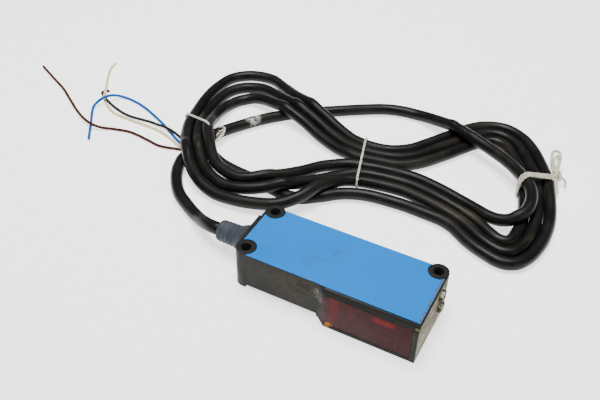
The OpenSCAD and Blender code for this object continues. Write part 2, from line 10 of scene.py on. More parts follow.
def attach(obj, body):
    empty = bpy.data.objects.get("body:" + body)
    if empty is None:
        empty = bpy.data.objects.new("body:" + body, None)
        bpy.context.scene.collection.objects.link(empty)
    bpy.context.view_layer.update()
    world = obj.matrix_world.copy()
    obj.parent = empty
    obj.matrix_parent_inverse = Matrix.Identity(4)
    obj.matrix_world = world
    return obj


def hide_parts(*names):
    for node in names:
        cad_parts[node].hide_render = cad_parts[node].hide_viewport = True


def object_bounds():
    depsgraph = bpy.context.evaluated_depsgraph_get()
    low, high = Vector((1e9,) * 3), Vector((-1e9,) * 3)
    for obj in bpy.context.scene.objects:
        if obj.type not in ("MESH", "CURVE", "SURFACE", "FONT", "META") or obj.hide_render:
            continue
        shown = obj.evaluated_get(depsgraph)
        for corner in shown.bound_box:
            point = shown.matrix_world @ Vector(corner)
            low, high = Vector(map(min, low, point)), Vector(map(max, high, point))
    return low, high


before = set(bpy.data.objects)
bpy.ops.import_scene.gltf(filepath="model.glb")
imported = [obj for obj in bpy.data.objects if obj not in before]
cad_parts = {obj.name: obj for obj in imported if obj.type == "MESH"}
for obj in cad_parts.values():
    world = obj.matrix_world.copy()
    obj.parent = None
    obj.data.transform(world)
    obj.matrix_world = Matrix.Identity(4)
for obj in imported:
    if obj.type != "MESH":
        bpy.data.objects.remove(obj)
cad_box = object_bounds()

MM = 0.001
BODY = "sensor"
UP = Vector((0.0, 0.0, 1.0))


# --------------------------------------------------------------------------------------------
# Camera: its lens, its place and the directions of its own frame

LENS = 48.0
SENSOR_WIDTH = 36.0
CAMERA_PLACE = (0.0911, -0.1983, 0.2323)
CAMERA_RIGHT = (0.8842, 0.4668, 0.0155)
CAMERA_UP = (-0.3142, 0.5698, 0.7593)


def make_camera():
    """A product view from the front right, looking down at about forty degrees."""
    data = bpy.data.cameras.new("camera")
    data.lens = LENS
    data.sensor_width = SENSOR_WIDTH
    data.clip_start = 0.01
    camera = bpy.data.objects.new("camera", data)
    right = Vector(CAMERA_RIGHT)
    up = Vector(CAMERA_UP)
    back = right.cross(up)
    place = Matrix((right, up, back)).transposed().to_4x4()
    place.translation = Vector(CAMERA_PLACE)
    camera.matrix_world = place
    bpy.context.scene.collection.objects.link(camera)
    bpy.context.scene.camera = camera


# --------------------------------------------------------------------------------------------
# Cable route. Its points are millimetres in the shared frame, as in the CAD model.

CABLE_R = 2.8
WIRE_R = 0.7
EXIT = (-47.4, 1.6, 9.0)                   # where the jacket leaves the boot's tip
GUIDE_STEP = 3.0                           # spacing of the points that settle
LINE_STEP = 1.5                            # spacing of the finished centreline
WIRE_STEP = 0.8

# From the boot to the coil
LEAD = [
    (-47.4, 1.6, 9), (-50.4, 1.6, 9), (-56, 3.8, 7), (-63, 8.2, 4.2), (-71, 12.8, 2.9),
    (-79.5, 18.2, 2.9), (-86, 25.4, 2.9), (-90.5, 33.5, 2.9), (-92.2, 40.5, 2.9),
    (-91.4, 45.6, 2.9), (-88.6, 48.8, 2.9), (-84.6, 49.6, 2.9), (-80.6, 48, 2.9),
    (-75, 45.6, 2.9), (-66, 43.8, 2.9), (-56, 43, 2.9), (-46, 41.4, 2.9), (-37.5, 40.4, 2.9),
    (-31, 42, 2.9), (-25.5, 46.8, 2.9), (-18, 53, 2.9), (-8, 57.4, 2.9), (6, 59.4, 2.9),
    (20, 59.6, 2.9),
]

# The coil: outer path x, y, inner path x, y, and height, once round
COIL = [
    (34, 58.5, 36.8, 66, 2.9), (42.5, 52.6, 46.3, 60.8, 2.9), (51, 48.2, 51.8, 57.6, 2.9),
    (58.5, 46, 57, 57, 2.9), (63.8, 48.2, 60.2, 59.8, 2.9), (67, 55.5, 61.2, 65.4, 2.9),
    (68.3, 68, 60.6, 72.6, 2.9), (68.2, 81, 59, 81, 2.9), (65.2, 94, 55.8, 91.1, 2.9),
    (59.2, 110.5, 50.2, 106.2, 2.9), (50, 126, 42, 118, 2.9), (42.5, 133.4, 37.6, 122.8, 2.9),
    (33, 137, 32.4, 124.4, 2.9), (23, 133.8, 27.6, 122.4, 2.9), (15.5, 126, 23.4, 117.4, 2.9),
    (10, 117, 19, 110.4, 2.9), (4.5, 107.5, 13.4, 101.6, 2.9), (-2, 97.4, 5.5, 90.8, 2.9),
    (-9.5, 91.6, -5.1, 82.7, 2.9), (-18, 89.4, -17.4, 79.5, 2.9), (-27, 90.8, -29.5, 81, 2.9),
    (-37.3, 94.6, -42.1, 85.5, 4.2), (-47.9, 99.3, -54.1, 90.6, 5.8),
    (-58.5, 103.8, -65.2, 93.7, 6.8), (-68.6, 108.8, -75.5, 96.6, 6.2),
    (-79.5, 115.5, -83.6, 99, 5), (-90.3, 120.6, -89.4, 98.6, 4),
    (-101.5, 118.5, -93.8, 95.6, 3), (-108.8, 111.5, -96.4, 91, 3), (-111, 100.9, -97.6, 86, 3.5),
    (-110.6, 89.5, -97.6, 79.6, 4.5), (-107.6, 76.7, -96.4, 71.2, 5.5),
    (-102.8, 64.1, -93.6, 62.6, 7.4), (-97.4, 54, -88.8, 54, 7.4),
    (-91.2, 44.4, -82.6, 46.4, 7.4), (-84.6, 36.4, -76, 40.4, 7), (-75, 28.9, -68.5, 37.2, 6.6),
    (-66, 25.8, -61, 36.2, 6), (-56.5, 25.6, -54.5, 38.6, 6), (-46.5, 27.4, -46.5, 45.4, 5.5),
    (-36.6, 30.8, -39, 55, 5), (-29, 39.4, -32, 65.6, 4), (-23.6, 51.4, -22, 73.4, 2.9),
    (-17.6, 61.6, -10.4, 76.4, 2.9), (-8.6, 65.6, 3.4, 77.6, 2.9), (3, 67.8, 14, 76.1, 2.9),
    (14, 66.3, 25, 72.2, 2.9), (24, 63.5, 31, 69.2, 2.9),
]
TURNS = 3
SLIDE = 5                                  # places over which a turn moves one lane inwards

# From the coil to the jacket's cut end
TAIL = [
    (-6, 77.5, 2.9), (7, 78.2, 2.9), (20, 75.6, 2.9), (32, 71.6, 2.9), (43, 68, 2.9),
    (51, 67, 2.9), (57, 68.6, 3.8), (60.4, 73.5, 5.4), (60.6, 81, 6.6), (58, 89, 6.6),
    (53, 95.5, 6.2), (44.5, 103.5, 7), (33.5, 110, 7.4), (20.5, 115.6, 7.4), (8, 121.2, 6),
    (-3, 125.8, 4), (-12, 127.2, 2.8), (-24, 124.8, 2.9), (-36, 118, 2.9), (-48, 109.6, 2.9),
    (-59, 102, 2.9), (-68.6, 94.3, 2.9), (-77, 85, 2.9), (-84, 74.5, 2.9), (-88.6, 65.5, 2.9),
    (-91.5, 57.5, 2.9),
]

# The four conductors beyond the cut end
WIRES = {
    "brown": [
        (-90.8, 57.2, 3.4), (-92.6, 52.6, 2.6), (-95.2, 49.6, 1.4), (-98.6, 47.8, 0.8),
        (-101.7, 47, 0.8), (-105.3, 45.9, 0.8), (-110.6, 45.1, 0.8), (-117.5, 46.2, 0.8),
        (-129, 47.4, 0.8), (-138.4, 45.3, 0.8), (-143.2, 42.9, 1.5), (-147.8, 42, 2.4),
        (-155.2, 44.8, 1.6), (-163.7, 49.5, 0.8), (-173.7, 55.9, 0.8), (-183.2, 62, 0.8),
        (-190.7, 65.7, 0.8), (-207.3, 73.9, 0.8),
    ],
    "white": [
        (-90.8, 57.2, 1.9), (-93.6, 53.4, 1.3), (-96.2, 50.8, 1), (-98.9, 49.6, 0.8),
        (-102.3, 49.8, 0.8), (-107.2, 51.9, 0.8), (-112.8, 54, 0.8), (-117.8, 55.1, 0.8),
        (-122.9, 55.6, 0.8), (-135.2, 55.7, 0.8), (-141, 56, 0.8), (-146, 56.8, 0.8),
        (-151, 59.1, 0.8), (-155.9, 62.5, 0.9), (-158.2, 64.8, 2.1), (-160.4, 68.5, 2.5),
        (-165.7, 76.1, 1.2), (-170.4, 83.4, 0.8), (-173.7, 89.8, 0.8), (-175.1, 95.6, 0.8),
    ],
    "blue": [
        (-92.2, 57.8, 1.9), (-95, 54.2, 1.4), (-97.6, 51.9, 0.9), (-100.6, 51.3, 0.8),
        (-105, 53.1, 0.8), (-111, 56.5, 0.8), (-117.9, 60.4, 0.8), (-123.5, 63.2, 0.8),
        (-129, 65.7, 0.8), (-136, 68.5, 0.8), (-142.3, 70.2, 0.8), (-147.9, 70.9, 0.8),
        (-152.2, 69.9, 1.5), (-154.7, 66.8, 2.9), (-156.3, 62.4, 3.6), (-157.7, 59.1, 2.6),
        (-158.2, 56.2, 1.4), (-155.7, 51.4, 0.8), (-150.5, 44.2, 0.8), (-146.7, 38.6, 0.8),
        (-142.9, 33.1, 0.8),
    ],
    "black": [
        (-92.2, 57.8, 3.4), (-96.8, 54.2, 3), (-100.5, 52.8, 2.5), (-104.7, 54.4, 2.4),
        (-109.5, 56.3, 2.4), (-114.5, 57.5, 2.2), (-120, 58.4, 1.5), (-125.6, 59.3, 0.8),
        (-131.4, 58.8, 0.8), (-136.6, 58.4, 0.8), (-141.3, 58.9, 0.8), (-146.9, 60.4, 0.8),
        (-152.4, 62.5, 0.8), (-157.5, 65, 0.8), (-160.5, 66.9, 0.8), (-163, 68.8, 0.8),
        (-162.6, 70.6, 0.8), (-160.8, 71.9, 0.8),
    ],
}

# Each tie: its middle x, y, the direction across the strands in degrees, and half its reach
TIES = {
    "left": (-97.6, 62.4, -23, 14),
    "middle": (-17.8, 77.0, 107, 17),
    "right": (58.0, 98.0, 52, 13),
}
STRING_R = 0.55
STRING_REACH = 9.0                         # spread of the lift that a tie's string gives the cable

SINK = 0.06                                # fall of the cable per round
HOLD = 0.03                                # share of the way back to the guide per round
EASE = 0.5                                 # share of a bump that one smoothing pass takes out
HELD_POINTS = 4                            # first points, straight out of the boot, that stay put


def guide_points():
    """The whole route before it settles: lead, turns from the outside inwards, tail."""
    last = len(COIL) - SLIDE
    points = list(LEAD)
    for turn in range(TURNS):
        for place, (ox, oy, ix, iy, z) in enumerate(COIL):
            if turn == TURNS - 1 and place > last:
                break
            lane = (turn + max(0, place - last) / SLIDE) / (TURNS - 1)
            points.append((ox + (ix - ox) * lane, oy + (iy - oy) * lane, z))
    return points + TAIL


def along(points, step):
    """Places at equal steps on a centripetal Catmull-Rom curve through the points."""
    p = np.asarray(points, float)
    p = np.vstack([2 * p[0] - p[1], p, 2 * p[-1] - p[-2]])
    pieces = []
    for a, b, c, d in zip(p[:-3], p[1:-2], p[2:-1], p[3:]):
        t1 = np.linalg.norm(b - a) ** 0.5
        t2 = t1 + np.linalg.norm(c - b) ** 0.5
        t3 = t2 + np.linalg.norm(d - c) ** 0.5
        t = np.linspace(t1, t2, 12, endpoint=False)[:, None]
        ab = (t1 - t) / t1 * a + t / t1 * b
        bc = (t2 - t) / (t2 - t1) * b + (t - t1) / (t2 - t1) * c
        cd = (t3 - t) / (t3 - t2) * c + (t - t2) / (t3 - t2) * d
        abc = (t2 - t) / t2 * ab + t / t2 * bc
        bcd = (t3 - t) / (t3 - t1) * bc + (t - t1) / (t3 - t1) * cd
        pieces.append((t2 - t) / (t2 - t1) * abc + (t - t1) / (t2 - t1) * bcd)
    fine = np.vstack(pieces + [p[-2:-1]])
    run = np.r_[0, np.cumsum(np.linalg.norm(np.diff(fine, axis=0), axis=1))]
    at = np.linspace(0, run[-1], int(run[-1] / step) + 1)
    return np.stack([np.interp(at, run, fine[:, k]) for k in range(3)], axis=1)


def ground(x):
    """Lowest height of the cable's axis: the strings pass under the tied strands."""
    near = np.zeros(len(x))
    for cx, cy, _, _ in TIES.values():
        far = (x[:, 0] - cx) ** 2 + (x[:, 1] - cy) ** 2
        near = np.maximum(near, np.exp(-far / (2 * STRING_REACH * STRING_REACH)))
    return CABLE_R + 2 * STRING_R * np.minimum(1, 1.4 * near)


def settle(guide, step, rounds=200):
    """Let the cable down on the floor and on itself, close to its guide in plan."""
    thick = 2 * CABLE_R
    x = guide.copy()
    count = len(x)
    index = np.arange(count)
    # pairs far enough from each other along the cable to touch
    apart = np.triu(np.abs(index[None] - index[:, None]) > math.ceil(1.8 * thick / step))
    free = np.ones((count, 1))
    free[:HELD_POINTS] = 0
    for _ in range(rounds):
        x[:, 2:] -= SINK * free
        x[:, :2] += HOLD * (guide - x)[:, :2] * free
        for _ in range(4):
            moved = x - guide
            x[1:-1] += EASE * ((moved[:-2] + moved[2:]) / 2 - moved[1:-1]) * free[1:-1]
        # push touching strands apart and keep them above the floor
        for _ in range(2):
            square = (x * x).sum(axis=1)
            gaps = square[None] + square[:, None] - 2 * x @ x.T
            first, second = np.nonzero((gaps < 1.01 * thick * thick) & apart)
            way = x[second] - x[first]
            far = np.maximum(np.linalg.norm(way, axis=1), 1e-6)
            push = way / far[:, None] * (0.5 * np.clip(1.005 * thick - far, 0, None))[:, None]
            total = np.zeros_like(x)
            hits = np.zeros(count)
            np.add.at(total, second, push)
            np.add.at(total, first, -push)
            np.add.at(hits, second, 1)
            np.add.at(hits, first, 1)
            x += 1.2 * total / np.maximum(hits, 1)[:, None] * free
            x[:, 2] = np.maximum(x[:, 2], ground(x))
    return x


# --------------------------------------------------------------------------------------------
# Mesh helpers

def add_mesh(name, points, faces, smooth=True):
    mesh = bpy.data.meshes.new(name)
    mesh.from_pydata([tuple(p) for p in points], [], faces)
    mesh.validate()
    obj = bpy.data.objects.new(name, mesh)
    bpy.context.scene.collection.objects.link(obj)
    mesh.polygons.foreach_set("use_smooth", [smooth] * len(mesh.polygons))
    return obj


def frames_along(path, closed=False):
    """Unit tangents and side vectors that don't twist from point to point."""
    if closed:
        tangent = np.roll(path, -1, axis=0) - np.roll(path, 1, axis=0)
    else:
        tangent = np.gradient(path, axis=0)
    tangent /= np.linalg.norm(tangent, axis=1)[:, None]
    side = np.cross(tangent[0], (0, 0, 1))
    if np.linalg.norm(side) < 1e-3:
        side = np.cross(tangent[0], (0, 1, 0))
    sides = []
    for t in tangent:
        side = side - t * side.dot(t)
        side = side / np.linalg.norm(side)
        sides.append(side)
    return tangent, np.array(sides)


LIP = (0.93, 0.7, 0.68)                    # a cut end's lip and recess, as shares of the radius
LIP_OUT = 0.06


def tube(name, path, radius, sides=16, closed=False, hollow_end=0.0):
    """A round tube in metres, with U along its length and V round it.
    radius is one number or one per point; hollow_end is the depth of a cut end's recess."""
    path = np.asarray(path, float)
    radii = np.broadcast_to(np.asarray(radius, float), len(path)).copy()
    tangent, side = frames_along(path, closed)
    run = np.r_[0, np.cumsum(np.linalg.norm(np.diff(path, axis=0), axis=1))]
    if hollow_end:
        # round the lip over, then go back inside the jacket
        back = path[-1] - tangent[-1] * hollow_end
        extra = [path[-1] + tangent[-1] * radii[-1] * LIP_OUT, path[-1], back]
        path = np.vstack([path, extra])
        radii = np.r_[radii, [radii[-1] * share for share in LIP]]
        tangent = np.vstack([tangent] + [tangent[-1:]] * 3)
        side = np.vstack([side] + [side[-1:]] * 3)
        run = np.r_[run, [run[-1]] * 3]
    other = np.cross(tangent, side)
    angle = np.linspace(0, 2 * math.pi, sides, endpoint=False)
    rings = (path[:, None] + radii[:, None, None] * (
        side[:, None] * np.cos(angle)[None, :, None]
        + other[:, None] * np.sin(angle)[None, :, None]))
    points = rings.reshape(-1, 3)
    count = len(path)
    faces = []
    corners = []
    for ring in range(count if closed else count - 1):
        following = (ring + 1) % count
        for k in range(sides):
            k1 = (k + 1) % sides
            faces.append((ring * sides + k, ring * sides + k1,
                          following * sides + k1, following * sides + k))
            u0 = run[ring]
            u1 = run[ring + 1] if ring + 1 < count else run[-1]
            v0 = k / sides
            v1 = (k + 1) / sides
            corners += [(u0, v0), (u0, v1), (u1, v1), (u1, v0)]
    if not closed:
        faces.append(tuple(range(sides - 1, -1, -1)))
        corners += [(0, 0)] * sides
        faces.append(tuple((count - 1) * sides + k for k in range(sides)))
        corners += [(run[-1], 0)] * sides
    obj = add_mesh(name, points, faces)
    layer = obj.data.uv_layers.new(name="run")
    layer.data.foreach_set("uv", np.array(corners, float).ravel())
    return obj


def lathe(name, profile, origin, axis, sides=64):
    """Turn a profile of (distance along the axis, radius) points in metres into a closed skin."""
    spot = Vector(origin)
    turn = UP.rotation_difference(Vector(axis)).to_matrix()
    points = []
    for far, radius in profile:
        for k in range(sides):
            a = 2 * math.pi * k / sides
            points.append(spot + turn @ Vector((radius * math.cos(a), radius * math.sin(a), far)))
    faces = []
    for ring in range(len(profile) - 1):
        for k in range(sides):
            k1 = (k + 1) % sides
            faces.append((ring * sides + k, ring * sides + k1,
                          (ring + 1) * sides + k1, (ring + 1) * sides + k))
    faces.append(tuple(range(sides - 1, -1, -1)))
    faces.append(tuple((len(profile) - 1) * sides + k for k in range(sides)))
    return add_mesh(name, points, faces)


def join(name, parts):
    """Join pieces that share their materials into one object."""
    bm = bmesh.new()
    for part in parts:
        bm.from_mesh(part.data)
    mesh = bpy.data.meshes.new(name)
    bm.to_mesh(mesh)
    bm.free()
    for material in parts[0].data.materials:
        mesh.materials.append(material)
    for part in parts:
        bpy.data.objects.remove(part)
    obj = bpy.data.objects.new(name, mesh)
    bpy.context.scene.collection.objects.link(obj)
    return obj


WELD = 2e-6                                # corners closer than this are one
FLAT_ANGLE = math.radians(1.0)             # faces that meet flatter than this are one
SHARP_ANGLE = math.radians(28)             # edges sharper than this are rounded


def softened(node, width, material, edge_material=None, body=BODY):
    """A copy of a CAD node with its sharp edges rounded, as moulding leaves them."""
    source = bpy.data.objects[node]
    bm = bmesh.new()
    bm.from_mesh(source.data)
    bmesh.ops.remove_doubles(bm, verts=bm.verts, dist=WELD)
    bmesh.ops.dissolve_limit(bm, angle_limit=FLAT_ANGLE, verts=bm.verts, edges=bm.edges)
    mesh = bpy.data.meshes.new(node + "_moulded")
    bm.to_mesh(mesh)
    bm.free()
    mesh.materials.append(material)
    mesh.materials.append(edge_material or material)
    obj = bpy.data.objects.new(node + "_moulded", mesh)
    bpy.context.scene.collection.objects.link(obj)
    bevel = obj.modifiers.new("rounding", "BEVEL")
    bevel.width = width
    bevel.segments = 2
    bevel.limit_method = "ANGLE"
    bevel.angle_limit = SHARP_ANGLE
    bevel.use_clamp_overlap = True
    bevel.material = 1
    bevel.harden_normals = True
    mesh.polygons.foreach_set("material_index", [0] * len(mesh.polygons))
    mesh.polygons.foreach_set("use_smooth", [True] * len(mesh.polygons))
    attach(obj, body)
    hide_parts(node)
    return obj


# --------------------------------------------------------------------------------------------
# Material helpers

MIX_UNDER = 6                              # colour sockets of a mix node
MIX_OVER = 7
MIX_RESULT = 2


class Paint:
    """A principled material whose node graph is built with a few words."""

    def __init__(self, name, color, rough, metallic=0.0, specular=0.14, coat=0.0, coat_rough=0.2):
        self.material = bpy.data.materials.new(name)
        self.material.use_nodes = True
        self.tree = self.material.node_tree
        self.shader = self.tree.nodes["Principled BSDF"]
        self.shader.inputs["Base Color"].default_value = (*color, 1)
        self.shader.inputs["Roughness"].default_value = rough
        self.shader.inputs["Metallic"].default_value = metallic
        self.shader.inputs["Specular IOR Level"].default_value = specular
        self.shader.inputs["Coat Weight"].default_value = coat
        self.shader.inputs["Coat Roughness"].default_value = coat_rough
        self.color = None
        self.base = (*color, 1)
        self.space = self.node("ShaderNodeTexCoord")

    def node(self, kind, **values):
        made = self.tree.nodes.new(kind)
        for key, value in values.items():
            setattr(made, key, value)
        return made

    def link(self, a, b):
        self.tree.links.new(a, b)

    def where(self, scale=(1, 1, 1), uv=False):
        """Object coordinates in millimetres, or the tube's own run and turn."""
        mapping = self.node("ShaderNodeMapping")
        factor = 1.0 if uv else 1 / MM
        mapping.inputs["Scale"].default_value = [factor * s for s in scale]
        self.link(self.space.outputs["UV" if uv else "Object"], mapping.inputs["Vector"])
        return mapping.outputs["Vector"]

    def noise(self, size, low=0.4, high=0.6, detail=3.0, stretch=(1, 1, 1), uv=False, seed=0.0):
        """A soft mask from 0 to 1; size is the size of its spots in millimetres."""
        made = self.node("ShaderNodeTexNoise", noise_dimensions="4D")
        made.inputs["Scale"].default_value = 1.0 / size
        made.inputs["Detail"].default_value = detail
        made.inputs["W"].default_value = seed
        self.link(self.where(stretch, uv), made.inputs["Vector"])
        return self.ramp(made.outputs["Fac"], low, high)

    def ramp(self, value, low, high):
        """A smooth 0 to 1 as a value goes from low to high."""
        made = self.node("ShaderNodeMapRange", interpolation_type="SMOOTHSTEP")
        made.inputs["From Min"].default_value = low
        made.inputs["From Max"].default_value = high
        self.link(value, made.inputs["Value"])
        return made.outputs["Result"]

    def axis(self, name, low, high):
        """0 to 1 along an axis of the shared frame, from low to high in millimetres."""
        split = self.node("ShaderNodeSeparateXYZ")
        self.link(self.where(), split.inputs["Vector"])
        return self.ramp(split.outputs[name], low, high)

    def spot(self, centre, reach, soft=0.5):
        """1 at a point of the shared frame and 0 beyond reach, in millimetres."""
        made = self.node("ShaderNodeVectorMath", operation="DISTANCE")
        self.link(self.where(), made.inputs[0])
        made.inputs[1].default_value = centre
        return self.ramp(made.outputs["Value"], reach, reach * (1 - soft))

    def times(self, *masks):
        """The product of masks and plain numbers; the first is a mask."""
        out = masks[0]
        for mask in masks[1:]:
            made = self.node("ShaderNodeMath", operation="MULTIPLY")
            self.link(out, made.inputs[0])
            if isinstance(mask, (int, float)):
                made.inputs[1].default_value = mask
            else:
                self.link(mask, made.inputs[1])
            out = made.outputs["Value"]
        return out

    def facing(self, axis, low=0.4, high=0.8):
        """1 on faces whose normal points along an axis of the shared frame."""
        geometry = self.node("ShaderNodeNewGeometry")
        dot = self.node("ShaderNodeVectorMath", operation="DOT_PRODUCT")
        self.link(geometry.outputs["Normal"], dot.inputs[0])
        dot.inputs[1].default_value = axis
        return self.ramp(dot.outputs["Value"], low, high)

    def tint(self, mask, color, amount=1.0):
        """Lay a colour over what is there, by a mask."""
        mix = self.node("ShaderNodeMix", data_type="RGBA")
        self.link(self.times(mask, amount), mix.inputs["Factor"])
        if self.color is None:
            mix.inputs[MIX_UNDER].default_value = self.base
        else:
            self.link(self.color, mix.inputs[MIX_UNDER])
        mix.inputs[MIX_OVER].default_value = (*color, 1)
        self.color = mix.outputs[MIX_RESULT]

    def roughen(self, mask, low, high):
        """Let a mask take the roughness from low to high."""
        made = self.node("ShaderNodeMapRange")
        made.inputs["To Min"].default_value = low
        made.inputs["To Max"].default_value = high
        self.link(mask, made.inputs["Value"])
        self.link(made.outputs["Result"], self.shader.inputs["Roughness"])

    def bump(self, mask, height, distance=0.1):
        """Raise the surface by a mask; distance is in millimetres."""
        made = self.node("ShaderNodeBump")
        made.inputs["Strength"].default_value = height
        made.inputs["Distance"].default_value = distance * MM
        self.link(mask, made.inputs["Height"])
        self.link(made.outputs["Normal"], self.shader.inputs["Normal"])

    def done(self):
        if self.color is not None:
            self.link(self.color, self.shader.inputs["Base Color"])
        return self.material


# --------------------------------------------------------------------------------------------
# Materials. Places are millimetres in the shared frame.

DECK_Z = 18.2                              # top of the film
END_X = 46.0                               # end face with the control panel
WINDOW_Y = -17.25                          # face of the lens block
RUST = (0.45, 0.17, 0.03)


def jacket_paint():
    p = Paint("pvc_jacket", (0.006, 0.006, 0.0062), 0.34)
    p.tint(p.noise(9, 0.45, 0.7, seed=1.0), (0.012, 0.0115, 0.01), 0.8)
    # dried dirt in long streaks, most of it on the right loop
    streak = p.noise(0.012, 0.52, 0.7, detail=4, stretch=(0.35, 0.022, 1), uv=True, seed=3.0)
    p.tint(p.times(streak, p.axis("X", -20, 60)), (0.05, 0.042, 0.022), 0.75)
    p.tint(streak, (0.03, 0.027, 0.018), 0.35)
    p.tint(p.noise(1.6, 0.66, 0.72, detail=2, seed=7.0), (0.05, 0.047, 0.04), 0.25)
    # a smear of old paint on the free stretch in the left loop
    smear = p.times(p.spot((-79.3, 81.8, 5), 5, 0.7), p.noise(2.2, 0.42, 0.52, seed=5.0))
    p.tint(smear, (0.55, 0.53, 0.45), 0.85)
    p.roughen(p.noise(14, 0.35, 0.7, seed=2.0), 0.28, 0.5)
    p.bump(p.noise(0.9, 0.3, 0.7, detail=2, seed=4.0), 0.12, 0.05)
    return p.done()


def wire_paint(name, color, dirt):
    p = Paint("pvc_" + name, color, 0.6, specular=0.05)
    p.tint(p.noise(5, 0.45, 0.7, seed=2.0), dirt, 0.4)
    p.tint(p.noise(1.1, 0.62, 0.7, detail=2, seed=6.0), dirt, 0.35)
    p.roughen(p.noise(4, 0.3, 0.7, seed=3.0), 0.5, 0.7)
    p.bump(p.noise(0.8, 0.3, 0.7, detail=2, seed=5.0), 0.08, 0.04)
    return p.done()


def housing_paint(name="housing_plastic", base=(0.022, 0.022, 0.02), worn=0.0):
    p = Paint(name, base, 0.6, specular=0.06)
    p.tint(p.noise(11, 0.4, 0.7, seed=1.0), (0.032, 0.031, 0.027), 0.6)
    # fine scuffs and dust
    p.tint(p.noise(0.7, 0.6, 0.72, detail=5, seed=9.0), (0.06, 0.057, 0.047), 0.35)
    # rust-coloured stain on the narrow front
    stain = p.times(p.noise(1.8, 0.46, 0.62, detail=5, seed=2.0), p.spot((-6, -14, 13), 15, 0.8))
    p.tint(stain, (0.055, 0.036, 0.012), 0.7)
    stain = p.times(p.noise(1.3, 0.52, 0.6, detail=4, seed=8.0), p.spot((-4, -14, 15), 7, 0.8))
    p.tint(stain, (0.07, 0.04, 0.012), 0.35)
    # a painted highlight on the sloped shoulder, pale and mottled, and a speck of rust at the lens
    # block's foot
    # painted highlight: pale colour where light glints off the shoulder's ramp
    painted_highlight = p.times(p.noise(1.4, 0.4, 0.62, detail=5, seed=4.0),
                   p.spot((5.9, -14.3, 12.5), 4.2, 0.8))
    p.tint(painted_highlight, (0.2, 0.19, 0.15), 0.75)
    rust = p.times(p.noise(0.9, 0.4, 0.5, seed=5.0), p.spot((10.6, WINDOW_Y, 0.8), 1.9, 0.8))
    p.tint(rust, RUST, 0.9)
    # grime on the end face round the control panel
    end = p.times(p.facing((1, 0, 0), 0.6, 0.9), p.axis("X", END_X - 0.6, END_X))
    p.tint(p.times(end, p.noise(2.2, 0.3, 0.55, detail=5, seed=6.0)), (0.1, 0.09, 0.045), 0.85)
    # the boss tops and the deck rim are polished black by handling
    p.tint(p.times(p.facing((0, 0, 1)), p.axis("Z", 17.2, 17.8)), (0.014, 0.014, 0.014), 0.85)
    if worn:
        p.tint(p.noise(1.6, 0.42, 0.62, detail=5, seed=3.0), (0.09, 0.086, 0.07), worn)
    p.roughen(p.noise(6, 0.3, 0.7, seed=7.0), 0.38, 0.6)
    p.bump(p.noise(0.35, 0.3, 0.7, detail=3, seed=11.0), 0.25, 0.03)
    return p.done()


def cover_paint():
    p = Paint("cover_plastic", (0.016, 0.016, 0.016), 0.42)
    p.tint(p.noise(3, 0.45, 0.65, seed=1.0), (0.026, 0.025, 0.022), 0.5)
    p.roughen(p.noise(4, 0.3, 0.7, seed=2.0), 0.32, 0.55)
    p.bump(p.noise(0.4, 0.3, 0.7, seed=3.0), 0.15, 0.03)
    return p.done()


def film_paint(name="label_film", edge=False):
    p = Paint(name, (0.0, 0.175, 0.6), 0.5, specular=0.02)
    p.tint(p.noise(26, 0.35, 0.7, detail=2, seed=1.0), (0.0, 0.19, 0.64), 0.6)
    # rubbed grey smudges in the middle and faint scratches
    for x, y, reach, seed in ((1.5, 1.0, 8.5, 2.0), (6.5, 4.5, 5.5, 3.0), (-3.5, -4.5, 5.0, 4.0)):
        smudge = p.times(p.noise(2.4, 0.44, 0.62, detail=5, seed=seed),
                         p.spot((x, y, DECK_Z), reach, 0.85))
        p.tint(smudge, (0.04, 0.13, 0.36), 0.55)
    p.tint(p.noise(0.9, 0.68, 0.74, detail=6, stretch=(0.3, 1, 1), seed=6.0), (0.03, 0.2, 0.6), 0.3)
    # dirt along the film's end by the controls
    p.tint(p.times(p.axis("X", 43.9, 45.0), p.noise(1.1, 0.4, 0.5, detail=4, seed=8.0)),
           (0.11, 0.1, 0.05), 0.85)
    if edge:
        p.tint(p.noise(2.0, 0.3, 0.6, seed=9.0), (0.03, 0.2, 0.45), 0.8)
    p.roughen(p.noise(7, 0.3, 0.7, seed=7.0), 0.3, 0.48)
    p.bump(p.noise(5, 0.3, 0.7, detail=2, seed=5.0), 0.12, 0.06)
    return p.done()


def window_paint():
    p = Paint("window_tint", (0.042, 0.0135, 0.0145), 0.42, specular=0.06)
    p.tint(p.noise(7, 0.4, 0.7, seed=1.0), (0.046, 0.018, 0.019), 0.7)
    # a light tube behind the tint shows as a brighter upright band, a rib as a streak
    band = p.times(p.axis("X", 11.0, 12.4), p.axis("X", 16.4, 14.4))
    p.tint(p.times(band, p.noise(3.5, 0.3, 0.6, stretch=(1, 1, 0.35), seed=2.0)),
           (0.105, 0.012, 0.014), 0.8)
    faint = p.times(p.axis("X", 18.4, 19.4), p.axis("X", 21.8, 20.6), p.axis("Z", 7.0, 11.0))
    p.tint(faint, (0.07, 0.014, 0.015), 0.6)
    streak = p.times(p.axis("X", 27.5, 30.5), p.axis("X", 38.5, 35.5),
                     p.axis("Z", 12.6, 14.0), p.axis("Z", 16.2, 15.2))
    p.tint(p.times(streak, p.noise(2.0, 0.32, 0.55, stretch=(0.3, 1, 1), seed=3.0)),
           (0.2, 0.014, 0.014), 0.75)
    # film of dust, heavier at the bottom edge
    p.tint(p.noise(1.2, 0.55, 0.68, detail=5, seed=4.0), (0.06, 0.04, 0.034), 0.35)
    p.tint(p.times(p.axis("Z", 4.0, 1.4), p.noise(1.5, 0.4, 0.6, detail=5, seed=5.0)),
           (0.04, 0.034, 0.022), 0.7)
    rust = p.times(p.noise(1.0, 0.36, 0.48, seed=7.0), p.spot((11.4, -17.2, 1.7), 2.0, 0.8))
    p.tint(rust, RUST, 0.9)
    p.roughen(p.noise(3, 0.3, 0.7, seed=6.0), 0.36, 0.55)
    p.bump(p.noise(2.5, 0.3, 0.7, seed=8.0), 0.08, 0.04)
    return p.done()


